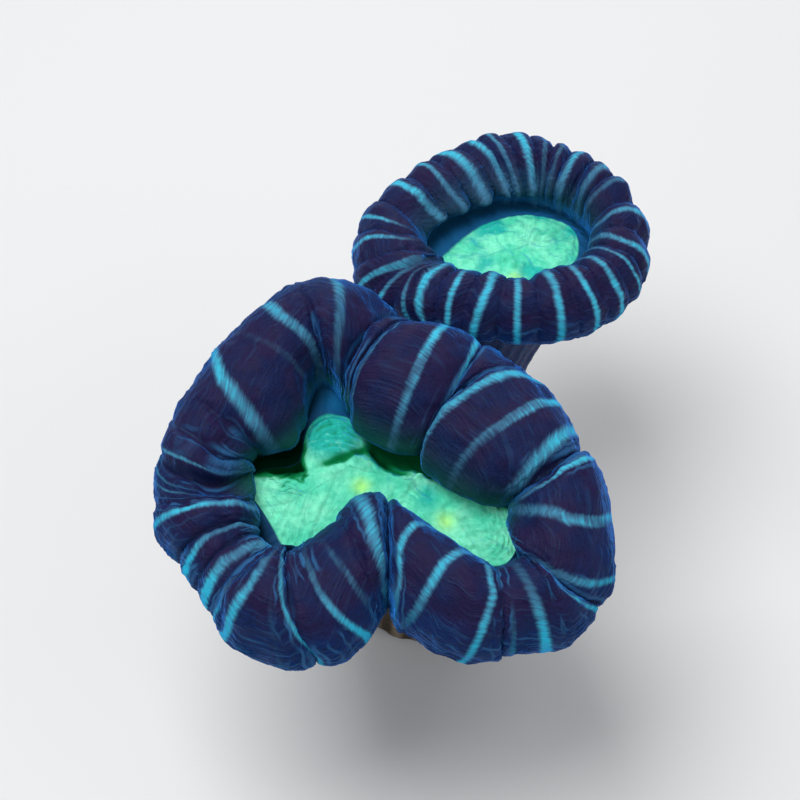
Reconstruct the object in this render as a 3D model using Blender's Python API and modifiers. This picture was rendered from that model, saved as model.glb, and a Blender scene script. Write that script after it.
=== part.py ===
"""Candy cane coral, a cut piece with two heads, in metres with +Z up.

The foot is the flat face where the piece was cut from its colony, with the origin at its middle.
The stony trunk divides into two branches, and each branch carries one fleshy head: a swollen,
folded mantle around a sunken mouth disc. The front head is dividing, so its ring is kidney shaped.
"""
import math

import bmesh
import bpy
from mathutils import Matrix, Vector

MM = 0.001
JOINT_GAP = 0.3 * MM            # clear space where two pieces meet

# Stem
FOOT_HALF_X = 8.2 * MM
FOOT_HALF_Y = 8.8 * MM
FORK_HALF_X = 5.9 * MM
FORK_HALF_Y = 10.9 * MM
FORK_HEIGHT = 11.0 * MM         # where the trunk ends and the branches start
BRANCH_RADIUS = 5.0 * MM
FRONT_BRANCH_START = Vector((-1.0, -5.4, 0.0)) * MM
REAR_BRANCH_START = Vector((1.0, 5.4, 0.0)) * MM
STEM_SIDES = 16

# Heads: the middle of each mantle ring, and how far its axis leans towards -Y
FRONT_HEAD_PLACE = Vector((-3.5, -12.5, 32.0)) * MM
FRONT_HEAD_LEAN = math.radians(12.0)
REAR_HEAD_PLACE = Vector((6.7, 14.9, 32.6)) * MM
REAR_HEAD_LEAN = math.radians(-5.0)

# Front head, in millimetres in the plane of its ring, clockwise from its left end.
# Each fold crosses the ring from its outer end to its inner end and dips between two lobes:
# (outer x, outer y, inner x, inner y, height of the crest, bow of the crest along the ring)
FRONT_FOLDS = (
    (-17.2, -8.2, -11.1, -5.8, 3.6, 0.0),
    (-18.8, -3.4, -11.6, -3.0, 3.6, -0.6),
    (-18.6, 1.4, -11.8, -0.4, 2.6, -2.6),
    (-17.8, 4.0, -11.9, 1.0, 3.6, -2.2),
    (-16.6, 7.2, -11.2, 1.8, 4.0, -1.2),
    (-8.0, 16.4, -5.4, 7.6, 4.8, 0.2),
    (0.6, 13.6, -3.4, 6.6, 2.8, -1.0),
    (2.6, 13.2, -2.8, 5.8, 4.2, -1.2),
    (8.2, 11.6, 3.4, 2.3, 3.8, 0.5),
    (12.4, 8.1, 4.2, 1.7, 3.8, -1.8),
    (16.5, 1.6, 10.6, -2.8, 3.6, 1.0),
    (17.6, -10.8, 11.2, -7.8, 3.2, 1.3),
    (14.4, -15.2, 11.0, -8.8, 4.0, 0.0),
    (9.2, -16.4, 8.8, -9.8, 3.8, -0.2),
    (0.4, -11.8, 0.0, -3.0, 3.0, 0.0),
    (-0.8, -13.6, -3.8, -5.8, 4.6, 0.0),
    (-2.4, -15.2, -6.4, -7.0, 4.2, 1.8),
    (-5.8, -16.8, -7.2, -7.6, 4.2, 1.6),
    (-13.4, -14.1, -8.5, -8.3, 3.8, 0.4),
    (-14.1, -13.0, -9.4, -8.0, 3.6, 0.0),
    (-15.6, -10.7, -10.8, -6.6, 3.6, 0.0),
)
# How far the lobe after each fold swells, in millimetres: (outwards, inwards, upwards)
FRONT_LOBES = (
    (0.6, 0.6, 1.0), (0.7, 0.6, 0.8), (0.9, 1.2, 2.0), (0.6, 0.5, 0.8), (0.3, 1.1, 2.0),
    (2.0, 0.8, 1.6), (0.9, 0.6, 1.2), (0.4, 1.3, 1.8), (0.6, 0.0, 1.0), (0.0, 1.6, 2.2),
    (0.9, 0.9, 2.0), (0.6, 0.4, 1.4), (0.6, 0.3, 0.8), (1.3, 0.9, 2.0), (0.8, 1.3, 1.8),
    (0.4, 0.4, 0.4), (0.8, 0.2, 0.8), (1.1, 0.4, 1.8), (0.5, 0.4, 0.6), (0.4, 0.4, 0.6),
    (0.4, 0.4, 0.6),
)
# The mouth line of the front head from its left end to its right end, (x, y)
FRONT_MOUTH = ((-8.8, -2.6), (-6.4, -1.2), (-3.2, 1.0), (1.2, -0.2), (5.6, -3.6), (8.8, -6.0))

# Rear head: an undivided ring, with its mouth disc a little off the middle. The outer end of each
# fold, clockwise from the left at equal turns, as (x, y)
REAR_OUTER = (
    (-12.9, 0.0), (-9.9, 5.3), (-5.6, 9.4), (0.0, 13.2), (6.6, 11.4), (11.7, 6.7),
    (13.7, 0.0), (12.5, -7.2), (7.2, -12.2), (0.0, -12.7), (-6.8, -11.6), (-12.6, -7.1),
)
REAR_INNER_HALF = (7.4, 6.3)
REAR_INNER_MIDDLE = (1.1, -0.7)
REAR_CREST = 3.0
REAR_LOBE = (0.4, 0.2, 0.5)
REAR_MOUTH = ((-2.8, -2.2), (5.0, 0.2))

# Profile of each mantle ring, in millimetres: share of the way in from the outer end to the crest,
# depth of the ring's belly, half size and middle of the seat on the branch, height of the seat,
# height of the disc
FRONT_RING = {"crest_share": 0.5, "belly": 3.9, "seat_half": (7.6, 5.8), "seat_middle": (-0.3, -0.8),
              "seat_z": -7.4, "disc_z": -1.0}
REAR_RING = {"crest_share": 0.42, "belly": 3.1, "seat_half": (6.0, 5.8), "seat_middle": (0.0, 0.6),
             "seat_z": -6.4, "disc_z": -1.0}
RING_ANGLES = tuple(math.radians(a) for a in (-90, -40, 5, 45, 80, 115, 160, 205))
CAGE_SPARE = 0.35               # the subdivided surface lies this far inside its cage
DISC_SHARES = (0.4, 0.75)       # how far the loops of the disc lie towards the mouth line


def head_matrix(place, lean):
    """The frame of a head: moved to its place and leaned towards -Y."""
    return Matrix.Translation(place) @ Matrix.Rotation(lean, 4, "X")


def between(before, start, end, after):
    """The point halfway along a smooth curve through four neighbouring rows."""
    return tuple((9 * (b + c) - a - d) / 16 for a, b, c, d in zip(before, start, end, after))


def stations(folds, lobes):
    """Folds and the middles of the lobes between them, in turn: (row, swell) pairs."""
    count = len(folds)
    result = []
    for i, fold in enumerate(folds):
        middle = between(folds[i - 1], fold, folds[(i + 1) % count], folds[(i + 2) % count])
        result.append((fold, (0.0, 0.0, 0.0)))
        result.append((middle, lobes[i]))
    return result


def ring_point(row, swell, ring, angle):
    """A point of the mantle: half an ellipse outside the crest, half inside, belly below."""
    outer, inner = Vector(row[0:2]), Vector(row[2:4])
    crest, bow = row[4], row[5]
    across = (outer - inner).normalized()
    along = Vector((across.y, -across.x))
    middle = outer.lerp(inner, ring["crest_share"])
    cosine, sine = math.cos(angle), math.sin(angle)
    if cosine > 0:
        reach = (outer - middle).length + swell[0] + CAGE_SPARE
    else:
        reach = (inner - middle).length + swell[1]
    height = (crest + swell[2] if sine > 0 else ring["belly"]) + CAGE_SPARE
    flat = middle + across * reach * cosine + along * bow * max(sine, 0.0)
    return Vector((flat.x, flat.y, height * sine))


def seat_point(row, ring, grow, z):
    """A point on the oval seat, in the direction of the station's ring section."""
    middle = Vector(ring["seat_middle"])
    toward = Vector(row[0:2]).lerp(Vector(row[2:4]), ring["crest_share"]) - middle
    angle = math.atan2(toward.y, toward.x)
    half_x, half_y = ring["seat_half"]
    return Vector((middle.x + (half_x + grow) * math.cos(angle),
                   middle.y + (half_y + grow) * math.sin(angle), z))


def along_line(points, share):
    """The point at a share of the way along evenly numbered points."""
    position = share * (len(points) - 1)
    index = min(int(position), len(points) - 2)
    return Vector(points[index]).lerp(Vector(points[index + 1]), position - index)


def new_object(name, bm, collection, material):
    """A mesh object whose faces all point out."""
    bmesh.ops.recalc_face_normals(bm, faces=bm.faces[:])
    mesh = bpy.data.meshes.new(name)
    bm.to_mesh(mesh)
    bm.free()
    mesh.materials.append(material)
    mesh.shade_smooth()
    obj = bpy.data.objects.new(name, mesh)
    collection.objects.link(obj)
    return obj


def add_subdivision(obj):
    modifier = obj.modifiers.new("Soften", "SUBSURF")
    modifier.levels = 1
    modifier.render_levels = 1


def bridge(bm, lower, upper):
    """Quads between two closed loops of the same length."""
    count = len(lower)
    for i in range(count):
        j = (i + 1) % count
        bm.faces.new((lower[i], lower[j], upper[j], upper[i]))


def crease_loop(bm, loop):
    """Keep the edges of a loop sharp under Subdivision Surface."""
    layer = bm.edges.layers.float.get("crease_edge") or bm.edges.layers.float.new("crease_edge")
    for i, vertex in enumerate(loop):
        bm.edges.get((vertex, loop[i - 1]))[layer] = 1.0


def make_head(name, rows, ring, mouth, left_end, place, lean, collection, material):
    """A fleshy head as one cage: seat, belly, mantle ring, sunken disc and mouth line.

    left_end is the station at the left end of the mouth line; the stations before and after it
    meet in pairs on that line.
    """
    bm = bmesh.new()
    count = len(rows)

    def add_loop(points):
        return [bm.verts.new(point * MM) for point in points]

    seat_z = ring["seat_z"]
    flare = [seat_point(row, ring, 0.7, seat_z + 1.1) for row, _ in rows]
    belly = [ring_point(row, swell, ring, RING_ANGLES[0]) for row, swell in rows]
    loops = [
        add_loop(seat_point(row, ring, 0.0, seat_z) for row, _ in rows),
        add_loop(flare),
        add_loop(a.lerp(b, 0.5) for a, b in zip(flare, belly)),
        add_loop(belly),
    ]
    for angle in RING_ANGLES[1:]:
        loops.append(add_loop(ring_point(row, swell, ring, angle) for row, swell in rows))
    trough = [vertex.co / MM for vertex in loops[-1]]
    shares = [abs((i - left_end + count // 2) % count - count // 2) / (count // 2)
              for i in range(count)]
    line = [along_line(mouth, share) for share in shares]
    for share in DISC_SHARES:
        disc = []
        for start, end in zip(trough, line):
            flat = start.to_2d().lerp(end, share)
            disc.append(Vector((flat.x, flat.y, ring["disc_z"])))
        loops.append(add_loop(disc))
    for lower, upper in zip(loops, loops[1:]):
        bridge(bm, lower, upper)

    half = count // 2
    lips = [bm.verts.new(Vector((*along_line(mouth, i / half), ring["disc_z"] - 0.2)) * MM)
            for i in range(half + 1)]
    bridge(bm, loops[-1], [lips[round(share * half)] for share in shares])
    bm.faces.new(loops[0])
    crease_loop(bm, loops[0])
    head = new_object(name, bm, collection, material)
    head.matrix_world = head_matrix(place, lean)
    add_subdivision(head)
    return head


def make_limb(name, sections, collection, material):
    """A stony limb lofted through oval sections with flat ends: (matrix, half x, half y)."""
    bm = bmesh.new()
    loops = []
    for matrix, half_x, half_y in sections:
        loop = []
        for i in range(STEM_SIDES):
            angle = math.tau * i / STEM_SIDES
            point = Vector((half_x * math.cos(angle), half_y * math.sin(angle), 0.0))
            loop.append(bm.verts.new(matrix @ point))
        loops.append(loop)
    for lower, upper in zip(loops, loops[1:]):
        bridge(bm, lower, upper)
    for loop in (loops[0], loops[-1]):
        bm.faces.new(loop)
        crease_loop(bm, loop)
    limb = new_object(name, bm, collection, material)
    add_subdivision(limb)
    return limb


def trunk_sections():
    """From the cut foot up to the fork, narrow in X and wide in Y where the branches stand."""
    steps = ((0.0, 1.0, 1.0), (0.15, 0.98, 0.98), (0.45, 0.84, 0.92), (0.8, 0.78, 1.12))
    sections = [(Matrix.Translation((0.0, 0.0, share * FORK_HEIGHT)),
                 FOOT_HALF_X * wide, FOOT_HALF_Y * deep) for share, wide, deep in steps]
    sections.append((Matrix.Translation((0.0, 0.0, FORK_HEIGHT)), FORK_HALF_X, FORK_HALF_Y))
    return sections


def branch_sections(start, place, lean, ring):
    """Round sections along a curve from the fork up to the seat of a head."""
    head = head_matrix(place, lean)
    seat_x, seat_y = ring["seat_middle"]
    top = head @ (Vector((seat_x, seat_y, ring["seat_z"])) * MM - Vector((0.0, 0.0, JOINT_GAP)))
    axis = (head.to_3x3() @ Vector((0.0, 0.0, 1.0))).normalized()
    foot = start + Vector((0.0, 0.0, FORK_HEIGHT + JOINT_GAP))
    rise = (top - foot).length / 3
    controls = (foot, foot + Vector((0.0, 0.0, rise)), top - axis * rise, top)
    half_x, half_y = (half * MM for half in ring["seat_half"])
    sections = []
    for t, radius_share, seat_share in ((0.0, 1.0, 0.0), (0.1, 0.98, 0.0), (0.3, 0.93, 0.0),
                                        (0.5, 0.92, 0.0), (0.7, 0.96, 0.15), (0.88, 1.0, 0.7),
                                        (1.0, 1.0, 1.0)):
        centre = bezier(controls, t)
        direction = bezier_slope(controls, t)
        turn = Vector((0.0, 0.0, 1.0)).rotation_difference(direction).to_matrix().to_4x4()
        round_half = BRANCH_RADIUS * radius_share
        sections.append((Matrix.Translation(centre) @ turn,
                         round_half + (half_x - round_half) * seat_share,
                         round_half + (half_y - round_half) * seat_share))
    return sections


def bezier(controls, t):
    a, b, c, d = controls
    s = 1.0 - t
    return a * s ** 3 + b * (3 * s * s * t) + c * (3 * s * t * t) + d * t ** 3


def bezier_slope(controls, t):
    a, b, c, d = controls
    s = 1.0 - t
    return ((b - a) * s * s + (c - b) * (2 * s * t) + (d - c) * t * t).normalized()


def rear_folds():
    """Stations of the rear ring, whose inner ends lie on an oval at equal angles."""
    folds = []
    for i, (outer_x, outer_y) in enumerate(REAR_OUTER):
        angle = math.pi - math.tau * i / len(REAR_OUTER)
        folds.append((outer_x, outer_y,
                      REAR_INNER_MIDDLE[0] + REAR_INNER_HALF[0] * math.cos(angle),
                      REAR_INNER_MIDDLE[1] + REAR_INNER_HALF[1] * math.sin(angle),
                      REAR_CREST, 0.0))
    return folds


def make_material(name, colour, roughness):
    material = bpy.data.materials.new(name)
    material.use_nodes = True
    shader = material.node_tree.nodes["Principled BSDF"]
    shader.inputs["Base Color"].default_value = (*colour, 1.0)
    shader.inputs["Roughness"].default_value = roughness
    shader.inputs["Metallic"].default_value = 0.0
    return material


def clear_scene():
    for obj in list(bpy.data.objects):
        bpy.data.objects.remove(obj, do_unlink=True)


clear_scene()
coral = bpy.data.collections.new("candy_cane_coral")
bpy.context.scene.collection.children.link(coral)

stone = make_material("limestone", (0.42, 0.36, 0.30), 0.9)
front_stone = make_material("limestone_front", (0.42, 0.36, 0.30), 0.9)
rear_stone = make_material("limestone_rear", (0.42, 0.36, 0.30), 0.9)
front_flesh = make_material("flesh_front", (0.05, 0.05, 0.16), 0.55)
rear_flesh = make_material("flesh_rear", (0.05, 0.05, 0.16), 0.55)

make_limb("trunk", trunk_sections(), coral, stone)
make_limb("front_branch",
          branch_sections(FRONT_BRANCH_START, FRONT_HEAD_PLACE, FRONT_HEAD_LEAN, FRONT_RING),
          coral, front_stone)
make_limb("rear_branch",
          branch_sections(REAR_BRANCH_START, REAR_HEAD_PLACE, REAR_HEAD_LEAN, REAR_RING),
          coral, rear_stone)
make_head("front_polyp", stations(FRONT_FOLDS, FRONT_LOBES), FRONT_RING, FRONT_MOUTH, 1,
          FRONT_HEAD_PLACE, FRONT_HEAD_LEAN, coral, front_flesh)
make_head("rear_polyp", stations(rear_folds(), [REAR_LOBE] * len(REAR_OUTER)), REAR_RING,
          REAR_MOUTH, 0, REAR_HEAD_PLACE, REAR_HEAD_LEAN, coral, rear_flesh)
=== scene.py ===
"""Looks of a cut piece of candy cane coral: two fleshy heads on a forked stony stem.

Lengths in this file are in millimetres, and become metres where a mesh is made.
"""

import bpy
import numpy as np
from mathutils import Matrix, Vector


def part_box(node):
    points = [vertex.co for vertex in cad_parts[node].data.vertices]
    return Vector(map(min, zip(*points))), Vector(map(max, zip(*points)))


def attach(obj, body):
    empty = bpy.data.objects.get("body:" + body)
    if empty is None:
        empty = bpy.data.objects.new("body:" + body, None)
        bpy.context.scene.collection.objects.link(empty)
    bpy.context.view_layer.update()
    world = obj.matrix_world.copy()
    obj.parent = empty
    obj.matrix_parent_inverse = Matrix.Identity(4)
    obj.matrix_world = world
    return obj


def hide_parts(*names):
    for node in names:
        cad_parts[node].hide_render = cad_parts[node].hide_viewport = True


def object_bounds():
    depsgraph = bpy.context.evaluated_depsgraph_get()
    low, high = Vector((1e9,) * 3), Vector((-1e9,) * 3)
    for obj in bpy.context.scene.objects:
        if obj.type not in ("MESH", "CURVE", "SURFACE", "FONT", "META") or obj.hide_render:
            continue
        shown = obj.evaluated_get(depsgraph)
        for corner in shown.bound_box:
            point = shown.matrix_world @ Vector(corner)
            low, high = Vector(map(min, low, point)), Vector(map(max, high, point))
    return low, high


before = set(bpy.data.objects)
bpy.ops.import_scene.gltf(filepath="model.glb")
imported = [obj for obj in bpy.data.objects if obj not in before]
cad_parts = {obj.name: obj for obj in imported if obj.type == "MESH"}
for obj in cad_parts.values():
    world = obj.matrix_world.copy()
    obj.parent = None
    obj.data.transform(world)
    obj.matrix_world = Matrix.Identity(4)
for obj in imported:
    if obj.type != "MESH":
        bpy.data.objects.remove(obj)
cad_low, cad_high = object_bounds()


# ---------------------------------------------------------------------------------------------
# Front head. The larger of the two, caught while it divides, so its ring is kidney shaped. It is
# living tissue swollen with water: a mantle folded into lobes round a sunken disc with two
# mouths. It grew as one skin over the end of its branch, so it is one closed surface.
# ---------------------------------------------------------------------------------------------

MM = 0.001                              # metres in a millimetre
# Folds of the mantle in the plane of its ring, clockwise from the left end: (outer x, outer y,
# inner x, inner y, height of the crest, bow of the crest along the ring, depth of the crease
# outside and inside, sharpness of the corner in plan)
FRONT_FOLDS = np.array((
    (-17.0, -8.1, -11.1, -5.8, 3.6, 0.0, 1.0, 1.0, 0.0),
    (-18.8, -3.4, -11.6, -3.0, 3.6, -1.4, 0.5, 0.6, 0.0),
    (-18.5, 3.0, -11.9, 0.2, 2.6, -3.8, 1.0, 1.0, 0.3),
    (-17.7, 4.8, -11.9, 1.0, 3.6, -2.5, 0.7, 1.0, 0.0),
    (-17.0, 7.2, -11.3, 2.0, 4.0, -1.2, 0.4, 0.8, 0.0),
    (-14.8, 11.9, -7.5, 4.4, 4.6, 0.4, 0.0, 0.0, 0.0),
    (-8.0, 16.1, -5.4, 8.7, 4.6, 0.2, 0.1, 1.0, 0.0),
    (0.6, 13.6, -3.4, 6.6, 2.8, -1.0, 0.8, 1.0, 0.8),
    (2.6, 13.2, -2.8, 5.8, 4.2, -1.2, 1.0, 1.0, 0.4),
    (8.2, 11.6, 3.4, 2.3, 3.8, 0.5, 1.0, 1.0, 0.0),
    (12.4, 8.1, 4.2, 1.7, 3.8, -1.8, 0.8, 1.0, 0.2),
    (16.5, 1.6, 10.6, -2.8, 3.6, 1.0, 1.0, 1.0, 0.3),
    (17.4, -12.2, 10.9, -6.6, 3.2, 1.9, 1.0, 1.0, 0.3),
    (14.4, -15.2, 11.0, -8.8, 4.0, 0.0, 0.15, 0.3, 0.0),
    (9.2, -15.7, 8.8, -9.8, 3.8, -0.2, 0.5, 0.7, 0.0),
    (0.2, -11.9, 0.0, -3.8, 3.0, 0.0, 1.0, 1.0, 1.0),
    (-0.7, -13.5, -3.8, -5.8, 4.6, 0.0, 0.5, 0.5, 0.0),
    (-2.5, -15.5, -6.4, -7.0, 4.2, 1.8, 0.3, 0.6, 0.0),
    (-5.8, -16.8, -7.2, -7.6, 4.2, 1.6, 0.9, 0.8, 0.0),
    (-13.4, -14.1, -8.5, -8.3, 3.8, 0.4, 0.7, 0.5, 0.0),
    (-14.1, -13.0, -9.4, -8.0, 3.6, 0.0, 0.8, 0.8, 0.0),
    (-15.6, -10.7, -10.8, -6.6, 3.6, 0.0, 1.0, 1.0, 0.0),
))
# The lobe after each fold: how far it swells outwards, inwards and upwards, and the share of its
# width over which it rounds off at its start and at its end
FRONT_LOBES = np.array((
    (1.4, 0.6, 1.0, 0.5, 0.5), (0.7, 0.6, 0.8, 0.5, 0.5), (0.4, 0.8, 2.2, 0.18, 0.6),
    (0.6, 0.5, 0.8, 0.5, 0.5), (-0.4, 1.9, 1.9, 0.86, 0.5), (-0.1, -1.0, 1.6, 0.5, 1.0),
    (2.9, 0.4, 2.3, 0.55, 0.45), (0.9, 0.6, 1.2, 0.3, 0.5), (0.4, 2.2, 1.8, 0.45, 0.6),
    (0.6, 0.0, 1.0, 0.5, 0.5), (0.3, 2.7, 2.2, 0.25, 0.45), (1.3, 0.9, 2.0, 0.3, 0.4),
    (0.6, 0.4, 1.4, 0.5, 0.5), (0.6, 0.3, 0.8, 0.5, 0.5), (2.2, 0.9, 2.0, 0.3, 0.12),
    (0.1, 2.1, 1.8, 0.4, 0.5), (0.4, 0.4, 0.4, 0.5, 0.5), (1.0, 0.2, 0.8, 0.4, 0.5),
    (1.1, 0.4, 1.8, 0.4, 0.5), (0.5, 0.4, 0.6, 0.5, 0.5), (0.4, 0.4, 0.6, 0.5, 0.5),
    (0.5, 0.4, 0.6, 0.5, 0.5),
))
# Pale stripes: place in fold numbers at the outer side, the crest and the inner side, half width
# outside and inside, and brightness at the outer side, the crest and the inner side. Above 1 the
# stripe stays full further along, and below 0 it ends before it gets there.
FRONT_STRIPES = np.array((
    (0.52, 0.75, 0.60, 0.45, 0.35, 1.0, 0.8, 0.5),
    (1.32, 1.48, 1.50, 0.30, 0.20, 0.8, 0.3, 0.1),
    (1.75, 1.75, 1.75, 0.30, 0.20, 0.9, 0.2, 0.0),
    (2.24, 2.20, 2.14, 0.26, 0.20, 0.6, 0.6, 0.5),
    (3.12, 3.12, 3.12, 0.20, 0.16, 0.5, 0.3, 0.0),
    (5.02, 4.33, 4.22, 0.70, 0.75, 1.0, 0.85, 0.4),
    (4.94, 5.08, 5.42, 0.35, 0.50, 0.0, 0.12, 0.22),
    (5.60, 5.50, 5.86, 0.62, 0.60, 1.0, 0.65, 0.3),
    (6.25, 6.56, 6.72, 0.55, 0.70, 1.0, 0.45, 0.15),
    (8.08, 8.08, 8.12, 0.22, 0.20, 0.5, 0.5, 0.4),
    (8.48, 8.52, 8.60, 0.42, 0.48, 1.0, 0.9, 0.35),
    (8.85, 8.97, 9.00, 0.42, 0.30, 1.0, 0.8, 0.1),
    (10.27, 10.18, 10.09, 0.98, 0.46, 1.0, 0.8, 0.5),
    (10.50, 10.56, 10.52, 0.50, 0.50, 1.5, 0.75, 0.2),
    (10.77, 10.86, 10.98, 0.60, 0.75, 0.95, 0.85, 0.35),
    (11.10, 11.10, 11.12, 0.45, 0.22, 1.5, 0.85, 0.2),
    (11.43, 11.49, 11.28, 0.55, 0.60, 1.0, 0.7, 0.25),
    (11.73, 11.95, 12.00, 0.42, 0.45, 1.0, 0.4, -0.3),
    (12.06, 12.30, 12.50, 0.38, 0.20, 1.0, 0.5, 0.1),
    (13.28, 13.42, 13.55, 0.58, 0.45, 1.5, 0.38, 0.15),
    (13.80, 13.80, 13.80, 0.30, 0.20, 0.6, 0.05, 0.0),
    (14.28, 14.06, 14.14, 0.50, 0.35, 1.0, 0.65, 0.55),
    (15.00, 14.54, 14.20, 0.50, 0.50, 0.0, 0.9, 0.5),
    (14.97, 14.90, 14.58, 0.36, 0.40, 0.2, 0.8, 0.7),
    (15.10, 15.50, 15.56, 0.55, 0.90, 0.3, 0.7, 0.7),
    (16.10, 16.40, 16.60, 0.35, 0.35, 0.0, 0.34, 0.0),
    (16.62, 16.97, 16.80, 0.48, 0.30, 1.5, 0.42, 0.0),
    (17.90, 18.12, 18.05, 0.48, 0.25, 1.0, 0.7, 0.5),
    (18.35, 18.28, 18.20, 0.40, 0.20, 0.25, 0.1, 0.0),
    (18.97, 18.64, 18.55, 0.52, 0.50, 1.4, 0.6, -0.1),
    (20.05, 19.35, 18.80, 0.38, 0.30, 1.0, 0.12, 0.0),
    (20.50, 20.58, 20.20, 0.55, 0.60, 1.8, 0.5, 0.6),
    (21.35, 21.74, 21.85, 0.45, 0.40, 1.8, 0.42, 0.5),
))
# Edge of the green disc: place in fold numbers, x and y. It runs out into a nose at the back.
FRONT_DISC_EDGE = np.array((
    (0, -9.4, -5.2), (1, -10.8, -2.9), (1.6, -11.7, -1.6), (2.3, -11.8, -0.6), (3, -11.2, 0.3),
    (3.6, -9.6, 0.8), (4, -8.2, 0.9), (4.57, -7.5, 1.4), (5, -7.3, 2.5), (5.31, -7.1, 3.9),
    (5.62, -6.5, 5.1), (6, -5.5, 5.8), (7, -4, 5.8), (8, -2.7, 5.2), (9, 2.9, 1.9),
    (10, 3.9, 1.3), (11, 10, -2.6), (12, 10.7, -7.3), (13, 9.9, -8.1), (14, 8.4, -8.3),
    (15, 0, -3.4), (16, -3.6, -5.3), (17, -6.1, -6.5), (18, -6.9, -6.9), (19, -8, -7),
    (20, -8.6, -6.6), (21, -9, -6),
))
FRONT_LEAN = 12.0                       # degrees that the ring's axis leans towards -Y
FRONT_OFFSET = (0.66, 0.15, 0.46)       # middle of the ring from the middle of its node's box
FRONT_MOUTH_LINE = ((-8.8, -2.6), (-6.4, -1.2), (-3.2, 1.0), (1.2, -0.2), (5.6, -3.6), (8.8, -6.0))
FRONT_MOUTHS = ((-2.2, -0.9), (5.0, -4.2))
# Section of the ring: share of the way in from the outer end to the crest, depth of the belly,
# section angle of the trough, height of the disc, half size, middle and height of the seat, the
# angles over which the blue side (partly painted blue light) ends and the inner side and wall
# begin, strength of the lines round the ring, height of those along the disc's rim, strength of
# the frills beside folds, and of the painted green light that the disc throws on the skin beside it
FRONT_RING = {"crest_share": 0.5, "belly": 3.9, "trough": 200.0, "disc": -1.0,
              "seat_half": (7.8, 6.0), "seat_middle": (-0.3, -0.8), "seat": -8.0,
              "side_ends": (0.0, 68.0), "inner_starts": (120.0, 200.0),
              "wall_starts": (165.0, 192.0), "ring_lines": 1.0, "rim_lines": 0.07,
              "frills": 1.0, "disc_glow": 0.85}
FRONT_LEFT_END, FRONT_RIGHT_END = 0.5, 12.0     # fold numbers at the ends of the mouth line
STRIPE_ANGLES = (-20.0, 80.0, 160.0)    # section angles of the outer side, crest and inner side
NO_STRIPE = 9.0                         # distance to a stripe where there is none
# Columns round a head, and the rows of its underside, mantle, wall and disc
COLUMNS, UNDER_ROWS, MANTLE_ROWS, WALL_ROWS, DISC_ROWS = 440, 12, 150, 10, 44
# On the front disc: the fold in front of its nose, the near edge of the bank under the lobes,
# where their shadow is painted, and a ridge between the fold and the mouth
DISC_FOLD = ((-6.0, 0.9), (-4.4, 1.4), (-2.7, 2.3), (-1.9, 2.3), (-0.9, 1.6), (0.6, 0.6),
             (2.3, 0.0))
DISC_BANK = ((-1.9, 2.4), (-0.2, 1.1), (2.8, 0.2), (3.8, -0.4), (6.3, -1.6), (8.8, -2.8),
             (10.3, -3.2))
DISC_RIDGE = ((3.1, 0.3), (2.3, -0.3), (1.4, -1.5))
# Spacing of the skin's fine relief: lines round the ring, ruffles beside folds and the beads on
# them, and lines along the disc's rim. Then that of the nose's ruffles and of the ripples at the
# left and arcs at the right end of the front disc.
RING_GAP, RUFFLE_GAP, BEAD_GAP, RIM_GAP = 0.72, 0.8, 0.9, 0.55
NOSE_GAP, RIPPLE_GAP, ARC_GAP = 0.66, 0.56, 0.62
MOUTH_DEPTH, MOUTH_REACH = 0.3, 0.45    # the pit of a mouth, and how far it spreads
YELLOW_REACH = 0.8                      # how far its yellow spreads


def head_matrix(node, offset, lean):
    """The frame of a head: its node's box middle plus an offset, leaned towards -Y."""
    low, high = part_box(node)
    place = (Vector(low) + Vector(high)) / 2 + Vector(offset) * MM
    return Matrix.Translation(place) @ Matrix.Rotation(np.radians(lean), 4, "X")


def rounded(share):
    """A quarter circle: 0 at share 0 with a steep start, 1 and level from share 1 on."""
    return np.sqrt(1 - (1 - np.clip(share, 0, 1)) ** 2)


def ease(low, high, value):
    """Smooth step from 0 at low to 1 at high, which may be the smaller of the two."""
    t = np.clip((value - low) / (high - low), 0, 1)
    return t * t * (3 - 2 * t)


def bell(away, reach):
    """A bell curve: 1 at no distance, falling as the exponential of minus its square."""
    return np.exp(-(away / reach) ** 2)


def ripple(run, gap, shift=0.0):
    """Even waves along a run in mm: the sine of one turn for each gap."""
    return np.sin(2 * np.pi * run / gap + shift)


def spokes(turn):
    """The level direction at each angle: its cosine and sine."""
    return np.stack([np.cos(turn), np.sin(turn)], -1)


def steps_round(points):
    """Distance from each point of a closed ring to the next one."""
    return np.linalg.norm(np.roll(points, -1, 0) - points, axis=-1)


def cubic(p, width, start, start_slope, end, end_slope):
    """The Hermite cubic that crosses a gap of some width with given ends and slopes."""
    return ((1 + 2 * p) * (1 - p) ** 2 * start + p * (1 - p) ** 2 * width * start_slope
            + p * p * (3 - 2 * p) * end + p * p * (p - 1) * width * end_slope)


def closed_curve(rows, gap, place):
    """Smooth closed curve through table rows at whole places: a cubic in each gap, whose slopes
    are the mean of the neighbouring chords weighted by gap width. The last column turns a row's
    slope towards the chord, which makes a corner there."""
    count = len(rows)
    width = gap[:, None]
    chord = (np.roll(rows, -1, 0) - rows) / width
    before = np.roll(width, 1, 0)
    slope = (chord * before + np.roll(chord, 1, 0) * width) / (width + before)
    k = np.floor(place).astype(int) % count
    after = (k + 1) % count
    p = (place - np.floor(place))[:, None]
    start_slope = slope[k] + (chord[k] - slope[k]) * rows[k, -1:]
    end_slope = slope[after] + (chord[k] - slope[after]) * rows[after, -1:]
    return cubic(p, width[k], rows[k], start_slope, rows[after], end_slope)


def smooth_loop(points, place):
    """A smooth closed curve through plan points at whole places, with no corners."""
    rows = np.concatenate([points, np.zeros((len(points), 1))], 1)
    return closed_curve(rows, steps_round(points), place)[:, :2]


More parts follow.
